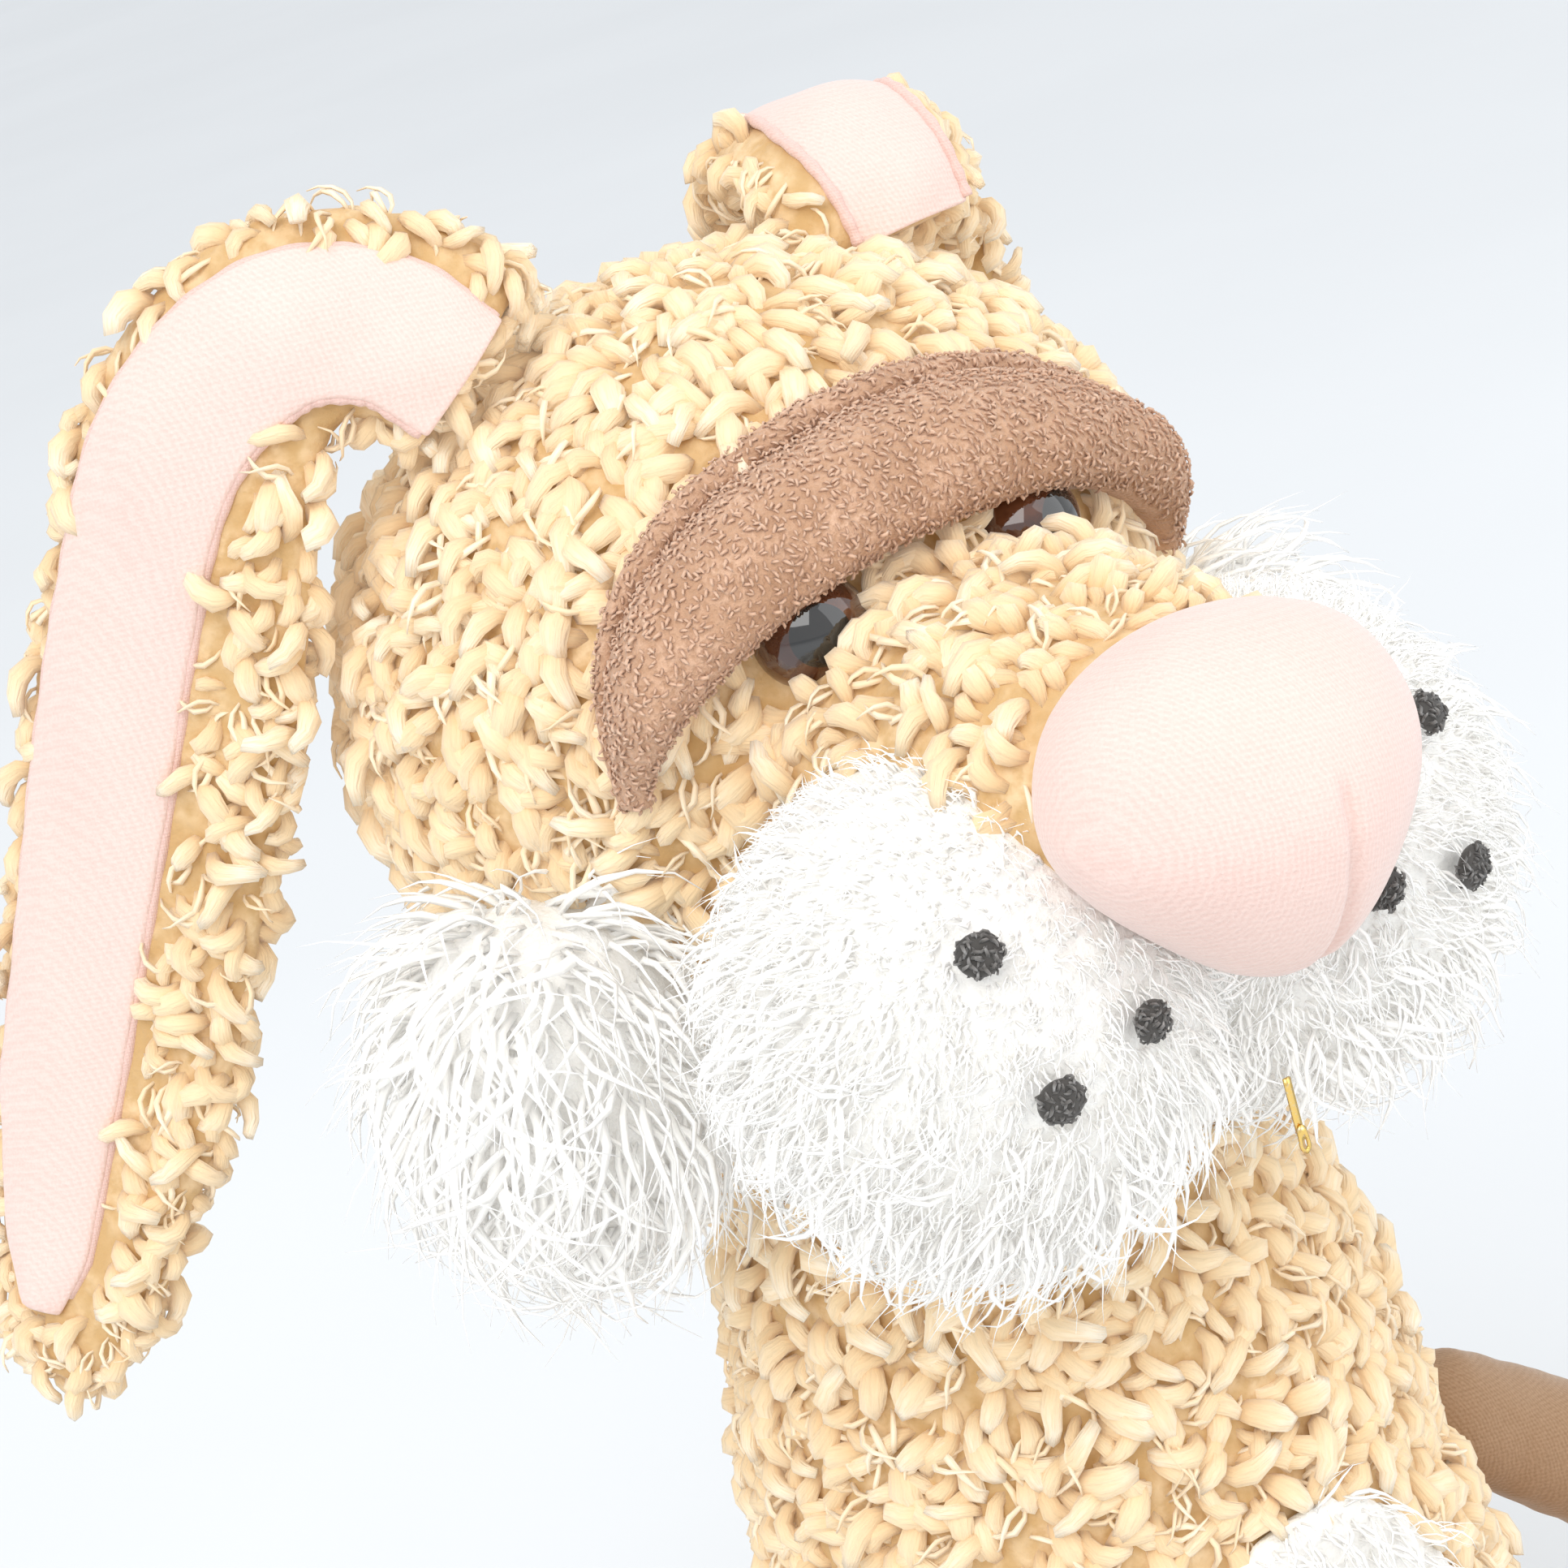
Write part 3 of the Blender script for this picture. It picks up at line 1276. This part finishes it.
@dataclass
class Ear:
    """One hanging ear: double fleece with a velour lining."""

    shop: Workshop
    side: Side
    body: str
    path: tuple[tuple[float, float, float], ...]
    facing: tuple[tuple[float, tuple[float, float, float]], ...]
    widths: tuple[tuple[float, float], ...] = (
        (0, 12.5), (0.15, 12.5), (0.3, 13.5), (0.45, 16.5), (0.6, 19), (0.85, 18), (0.95, 13), (1, 6))
    linings: tuple[tuple[float, float], ...] = (
        (0, 8.0), (0.2, 8.6), (0.45, 9.2), (0.7, 10.0), (0.9, 9.0), (0.97, 6.5), (1, 2.5))
    lining_end: float = 0.965
    thickness: float = 4.6 * MM
    hem_radius: float = 0.75 * MM
    spacing: float = 2.0 * MM
    back_shift: tuple[tuple[float, float], ...] = ((0, 4), (0.3, 1), (0.5, -1.5), (1, -1.5))
    lining_shift: tuple[tuple[float, float], ...] = ((0, 0), (0.3, 0.5), (0.6, 3), (0.9, 3), (1, 0))

    def station(self, t: float) -> tuple[Vector, Vector, Vector]:
        """Middle of the ear at t, the direction across it and the direction its lining faces."""
        middle = spline(self.path, t) * MM
        ahead = (spline(self.path, min(t + 0.02, 1)) - spline(self.path, max(t - 0.02, 0))).normalized()
        stops = [s for s, _ in self.facing]
        normal = Vector([float(np.interp(t, stops, [v[i] for _, v in self.facing])) for i in range(3)])
        normal = (normal - ahead * normal.dot(ahead)).normalized()
        across = normal.cross(ahead).normalized()
        return self.side.place(middle), self.side.place(across), self.side.place(normal)

    def back_point(self, s: float, angle: float) -> Vector:
        """Surface of the fleece tube."""
        t = min(max((s - 0.02) / 0.97, 0.0), 1.0)
        middle, across, normal = self.station(t)
        ends = math.sqrt(max(1 - (1 - min(s, 1 - s, 0.03) / 0.03) ** 2, 0.02))
        wide = along(self.widths, t) * MM * (0.7 + 0.3 * ends)
        middle = middle + across * along(self.back_shift, t) * MM
        return middle + across * wide * math.cos(angle) + normal * self.thickness * math.sin(angle) * ends

    def lining_point(self, u: float, v: float) -> Vector:
        """Surface of the velour, u along the ear and v across it, a little dished."""
        middle, across, normal = self.station(self.lining_end * u)
        w = 2 * v - 1
        wide = along(self.linings, u) * MM
        ripple = 0.35 * MM * math.sin(31 * u + 2 * w) * (1 - w * w)
        lift = self.thickness + 1.6 * MM - 1.9 * MM * w * w + ripple
        return middle + across * (wide * w + along(self.lining_shift, u) * MM) + normal * lift

    def hem_point(self, edge: float, s: float, angle: float) -> Vector:
        """Surface of the rolled hem along one edge of the lining."""
        u = 0.01 + 0.98 * s
        point = self.lining_point(u, 0.5 + 0.5 * edge)
        _, across, normal = self.station(self.lining_end * u)
        radius = self.hem_radius * (1 + 0.12 * math.sin(140 * s))
        return point + (across * math.cos(angle) + normal * math.sin(angle)) * radius

    def flow(self, point: Vector, normal: Vector) -> Vector:
        """The pile lies down the ear."""
        return Vector((self.side.value * 0.35, 0.2, -1.0))

    def build(self) -> None:
        """Makes the ear's cloth, its pile and its lining."""
        word = self.side.word
        finishes = self.shop.finishes
        bm = bmesh.new()
        add_tube(bm, 28, 72, self.back_point)
        cloth = remesh(to_object("ear_cloth_" + word, outward(bm), finishes.fleece_cloth), 1.5 * MM, 3)
        bm = bmesh.new()
        add_sheet(bm, 110, 16, self.lining_point)
        lining = thicken(to_object("ear_velour_" + word, outward(bm), finishes.velour), 1.0 * MM, 1)
        bm = bmesh.new()
        for edge in (-1.0, 1.0):
            add_tube(bm, 8, 150, lambda s, a: self.hem_point(edge, s, a))
        hem = to_object("ear_hem_" + word, outward(bm), finishes.velour_edge)
        fit(cloth, self.body, "curly_fleece", "ear_back_" + word, fill=0.4)
        fit(lining, self.body, "pink_velour", "ear_lining_" + word)
        fit(hem, self.body, "pink_velour")
        clear = Clearance(lining, hem)
        ground = Ground.over(cloth, self.spacing, 81 + self.side.value).where(
            lambda p, n: clear.distance(p) > 2.0 * MM)
        self.shop.plant_curls("ear_fleece_" + word, ground, 83, self.body, self.flow,
                              lambda p: 0.9)


@dataclass
class Torso:
    """The fleece body, its white belly, the tail, the neck roll and the label."""

    shop: Workshop
    spacing: float = 2.15 * MM
    neck_at: float = 180 * MM
    neck_radius: float = 29 * MM
    neck_roll: float = 5.0 * MM
    fur_spacing: float = 2.0 * MM
    fur_size: float = 0.85

    def panel(self, point: Vector) -> str:
        """The panel of the pattern that a place belongs to."""
        front = "front" if point.y < 0 else "back"
        return front + ("_upper" if point.z > 95 * MM else "_lower")

    def build(self) -> None:
        """Makes the torso."""
        finishes = self.shop.finishes
        cloth = to_object("torso_cloth", outer_wall("body_cover"), finishes.fleece_cloth)
        remesh(cloth, 2.0 * MM, 4)
        patch = to_object("belly_cloth", outer_wall("belly_patch"), finishes.fur_cloth)
        remesh(patch, 1.5 * MM, 1)
        tail = to_object("tail_cloth", outer_wall("tail"), finishes.fur_cloth)
        remesh(tail, 1.5 * MM, 3)
        fit(cloth, Body.TORSO.value, "curly_fleece", "body_cover", "body_stuffing", fill=0.8)
        fit(patch, Body.TORSO.value, "white_fur", "belly_patch")
        fit(tail, Body.TORSO.value, "white_fur", "tail", fill=0.8)
        clear = Clearance(patch, tail)
        ground = Ground.over(cloth, self.spacing, 11).where(
            lambda p, n: p.z > 3 * MM and clear.distance(p) > 0.8 * MM
            and not (p.z > 170 * MM and math.hypot(p.x, p.y) < 20 * MM))
        for index, name in enumerate(("front_upper", "front_lower", "back_upper", "back_lower")):
            part = ground.where(lambda p, n: self.panel(p) == name)
            self.shop.plant_curls("fleece_" + name, part, 12 + index, Body.TORSO.value,
                                  size=lambda p: 0.6 + 0.4 * ramp(3 * MM, 14 * MM, p.z))
        face = Ground.over(patch, self.fur_spacing, 21).where(lambda p, n: n.y < -0.1)
        self.shop.plant_fur("belly_fur", face, 22, Body.TORSO.value, downwards, lambda p: self.fur_size,
                            self.shop.kit.fur, 0.5)
        ball = Ground.over(tail, self.fur_spacing, 23).where(lambda p, n: clear.distance(p + n * MM) > 0)
        self.shop.plant_fur("tail_fur", ball, 24, Body.TORSO.value, downwards, lambda p: self.fur_size,
                            self.shop.kit.fur, 0.2)
        self.build_neck()
        self.build_label()

    def build_neck(self) -> None:
        """A soft roll of fleece that closes the gap under the head and bends with it."""
        bm = bmesh.new()
        add_tube(bm, 48, 8, lambda s, a: Vector((
            self.neck_radius * math.cos(a), self.neck_radius * math.sin(a) + MM,
            self.neck_at + (s - 0.5) * 2 * self.neck_roll)))
        roll = remesh(to_object("neck_roll", outward(bm), self.shop.finishes.fleece_cloth), 2.0 * MM, 6)
        ground = Ground.over(roll, self.spacing, 17).where(lambda p, n: abs(n.z) < 0.7)
        pile = grow("neck_fleece", ground, self.shop.kit.curls, self.shop.finishes.fleece, 18,
                    downwards, 1.1)
        for piece in (roll, pile):
            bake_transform(piece)

    def build_label(self) -> None:
        """The blank satin loop in the left side seam."""
        low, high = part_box("care_label")
        reach = high.x - low.x
        wide = high.z - low.z
        middle = (low.y + high.y) / 2

        def place(u: float, v: float) -> Vector:
            """Surface of the folded ribbon."""
            turn = math.pi * (u - 0.5)
            return Vector((low.x + (reach - MM) * math.cos(turn) ** 0.35 if abs(turn) < 1.57 else low.x,
                           middle + 0.7 * MM * math.sin(turn),
                           low.z + wide * v))

        bm = bmesh.new()
        add_sheet(bm, 40, 8, place)
        label = thicken(to_object("label_loop", bm, self.shop.finishes.satin), 0.15 * MM)
        fit(label, Body.TORSO.value, "label_satin", "care_label")


@dataclass
class Limbs:
    """Jersey arms, legs and feet with velour soles."""

    shop: Workshop
    swell: float = 0.9 * MM
    cloth: float = 1.2 * MM
    crease_depth: float = 0.55 * MM
    shoulder: tuple[float, float, float] = (57.1, -1.0, 91.0)
    arm_way: tuple[float, float, float] = (0.72, -0.20, -0.665)
    arm_length: float = 112
    hip: tuple[float, float, float] = (31.0, -60.5, 13.0)
    leg_way: tuple[float, float, float] = (0.12, -0.99, 0.0)
    leg_length: float = 76
    toe_across: float = 5.5

    def crease(self, form: bpy.types.Object) -> None:
        """Gives the jersey the soft dents and pulls of hand stuffing."""
        for v in form.data.vertices:
            dent = noise.noise(v.co * 95.0) + 0.5 * noise.noise(v.co * 240.0)
            v.co += v.normal * dent * self.crease_depth

    def stuffed(self, node: str, name: str, body: str) -> bpy.types.Object:
        """One stuffed jersey form from its cover."""
        filling = node.replace("cover", "stuffing")
        bm = outer_wall(filling)
        bm.normal_update()
        for v in bm.verts:
            v.co += v.normal * self.cloth
        form = puff(to_object(name, bm, self.shop.finishes.jersey), 3.0 * MM, 3.0, self.swell)
        self.crease(form)
        fit(form, body, "brown_jersey", node, filling, fill=0.8)
        return form

    def sew(self, name: str, form: bpy.types.Object,
            lines: Sequence[tuple[Vector, Vector, Vector, Vector]], body: str,
            radius: float = 0.4 * MM) -> None:
        """Lays raised seams on a limb.

        Args:
            name: The seams' name.
            form: The limb that they lie on.
            lines: For each seam, two points inside the limb and the way out of it at each.
            body: The body that they ride on.
            radius: Half the thread's thickness.
        """
        tree = BVHTree.FromObject(form, bpy.context.evaluated_depsgraph_get())
        bm = bmesh.new()
        for start, end, first, last in lines:

            def middle(s: float) -> Vector:
                """Point of the seam on the limb."""
                origin = start.lerp(end, s)
                hit = tree.ray_cast(origin, first.lerp(last, s).normalized())[0]
                return hit or origin

            def place(s: float, angle: float) -> Vector:
                """Surface point of the twisted thread."""
                here = middle(s)
                ahead = (middle(min(s + 0.02, 1.0)) - middle(max(s - 0.02, 0.0))).normalized()
                side = ahead.orthogonal().normalized()
                thick = radius * (1 + 0.25 * math.sin(150 * s))
                return here + (side * math.cos(angle) + ahead.cross(side) * math.sin(angle)) * thick

            add_tube(bm, 6, 90, place)
        seam = to_object(name, outward(bm), self.shop.finishes.seam)
        fit(seam, body, "brown_jersey")

    def sew_side(self, side: Side, arm: bpy.types.Object, leg: bpy.types.Object,
                 foot: bpy.types.Object) -> None:
        """Sews one side's arm seam, leg seam and toes."""
        word = side.word
        shoulder = side.place(Vector(self.shoulder) * MM)
        wrist = side.place((Vector(self.shoulder) + Vector(self.arm_way) * self.arm_length) * MM)
        back = Vector((0, 1, 0.1))
        self.sew("arm_seam_" + word, arm, [(shoulder, wrist, back, back)], word + "_arm")
        hip = side.place(Vector(self.hip) * MM)
        ankle = side.place((Vector(self.hip) + Vector(self.leg_way) * self.leg_length) * MM)
        up = Vector((-0.5 * side.value, 0, 1))
        self.sew("leg_seam_" + word, leg, [(hip, ankle, up, up)], word + "_leg")
        low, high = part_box("foot_cover_" + word)
        core = (low + high) / 2
        toes = []
        for across in (-self.toe_across, self.toe_across):
            point = core + Vector((across * MM, 0, 12 * MM))
            toes.append((point, point, Vector((0, -0.9, 1.0)), Vector((0, 0.8, 1.0))))
        self.sew("toe_stitches_" + word, foot, toes, word + "_leg", 0.5 * MM)

    def build(self) -> None:
        """Makes every limb."""
        for side in Side:
            word = side.word
            arm = self.stuffed("arm_cover_" + word, "arm_" + word, word + "_arm")
            leg = self.stuffed("leg_cover_" + word, "leg_" + word, word + "_leg")
            foot = self.stuffed("foot_cover_" + word, "foot_" + word, word + "_leg")
            self.sew_side(side, arm, leg, foot)
            sole = to_object("sole_pad_" + word, outer_wall("sole_" + word), self.shop.finishes.velour)
            remesh(sole, 1.0 * MM, 6)
            fit(sole, word + "_leg", "pink_velour", "sole_" + word, fill=0.4)


@dataclass
class Studio:
    """A pale floor, soft light and the camera."""

    eye: tuple[float, float, float] = (-0.2051, -0.3632, 0.3604)
    aim: tuple[float, float, float] = (-0.0076, 0.0126, 0.2137)
    roll: float = math.radians(16.8)
    lens: float = 83.7

    def build(self, floor_finish: bpy.types.Material) -> None:
        """Makes the floor, the lights and the camera."""
        bm = bmesh.new()
        bmesh.ops.create_grid(bm, x_segments=8, y_segments=8, size=6.0)
        floor = to_object("studio_floor", bm, floor_finish)
        floor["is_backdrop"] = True
        self.light("key", (-0.9, -0.8, 1.5), 1.4, 17.0, (1.0, 0.985, 0.96))
        self.light("fill", (1.0, -1.2, 0.9), 1.6, 8.0, (0.97, 0.985, 1.0))
        world = bpy.data.worlds.new("studio")
        world.use_nodes = True
        world.node_tree.nodes["Background"].inputs["Color"].default_value = (0.96, 0.98, 1.0, 1.0)
        world.node_tree.nodes["Background"].inputs["Strength"].default_value = 0.95
        bpy.context.scene.world = world
        bpy.context.scene.view_settings.view_transform = "Standard"
        lens = bpy.data.cameras.new("camera")
        lens.lens = self.lens
        lens.sensor_width = 36.0
        camera = bpy.data.objects.new("camera", lens)
        back = (Vector(self.eye) - Vector(self.aim)).normalized()
        camera.rotation_mode = "QUATERNION"
        level = (-back).to_track_quat("-Z", "Y")
        camera.rotation_quaternion = level @ Matrix.Rotation(-self.roll, 3, "Z").to_quaternion()
        camera.location = self.eye
        bpy.context.scene.collection.objects.link(camera)
        bpy.context.scene.camera = camera

    def light(self, name: str, place: Sequence[float], size: float, power: float,
              colour: tuple[float, float, float]) -> None:
        """Adds one soft square light that faces the rabbit."""
        lamp = bpy.data.lights.new(name, "AREA")
        lamp.size = size
        lamp.energy = power
        lamp.color = colour
        made = bpy.data.objects.new(name, lamp)
        made.location = place
        made.rotation_mode = "QUATERNION"
        made.rotation_quaternion = (Vector((0, 0, 0.18)) - Vector(place)).to_track_quat("-Z", "Y")
        bpy.context.scene.collection.objects.link(made)


def dress_inner_nodes(finishes: Finishes) -> None:
    """Gives the CAD nodes that stay their materials: eyes, washers, wadding and pellets."""
    for name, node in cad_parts.items():
        if name.startswith("eye_washer"):
            material = finishes.washer
        elif name.startswith("eye_"):
            material = finishes.iris
        elif name.startswith("pupil"):
            material = finishes.pupil
        elif name == "pellet_bag":
            material = finishes.cotton
        else:
            material = finishes.wadding
        node.data.materials.clear()
        node.data.materials.append(material)


LEFT_EAR = (
    ((32, 15.5, 271), (32, 18.5, 279), (34, 29, 283), (39, 42, 278), (45, 53, 261), (51, 60, 235),
     (58, 66, 205), (66, 70, 172)),
    ((0, (-0.1, -0.97, 0.2)), (0.22, (0, 0.1, 1)), (0.5, (0.5, 0.8, 0.3)), (1, (0.6, 0.8, 0.1))),
)
RIGHT_EAR = (
    ((31, 17.5, 274.5), (37, 21, 282.5), (47, 27, 284.5), (58, 34, 275), (66, 42, 255), (76, 50, 230),
     (88, 58, 201), (105, 65, 166)),
    ((0, (0.2, -0.93, 0.3)), (0.22, (0.4, -0.85, 0.35)), (0.5, (0.75, -0.6, 0.3)), (1, (0.85, -0.45, 0.3))),
)


def main() -> None:
    """Builds the rabbit and its studio, and notes the sizes."""
    logging.basicConfig(level=logging.INFO, format="%(name)s %(message)s")
    finishes = Finishes()
    shop = Workshop(finishes, PileKit())
    Studio().build(finishes.floor)
    dress_inner_nodes(finishes)
    lid = Eyelid(shop).build()
    nose = Nose(shop).build()
    pads = Muzzle(shop).build(nose)
    ruffs = Ruffs(shop).build()
    Head(shop).build([lid, nose, *pads, *ruffs])
    Ear(shop, Side.LEFT, "left_ear", *LEFT_EAR).build()
    Ear(shop, Side.RIGHT, "right_ear", *RIGHT_EAR).build()
    Torso(shop).build()
    Limbs(shop).build()
    total = 0
    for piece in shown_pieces():
        if piece.type == "MESH":
            count = sum(len(p.vertices) - 2 for p in piece.data.polygons)
            total += count
            log.info("%-24s %7d triangles", piece.name, count)
    log.info("all pieces: %d triangles", total)


if __name__ == "__main__":
    main()
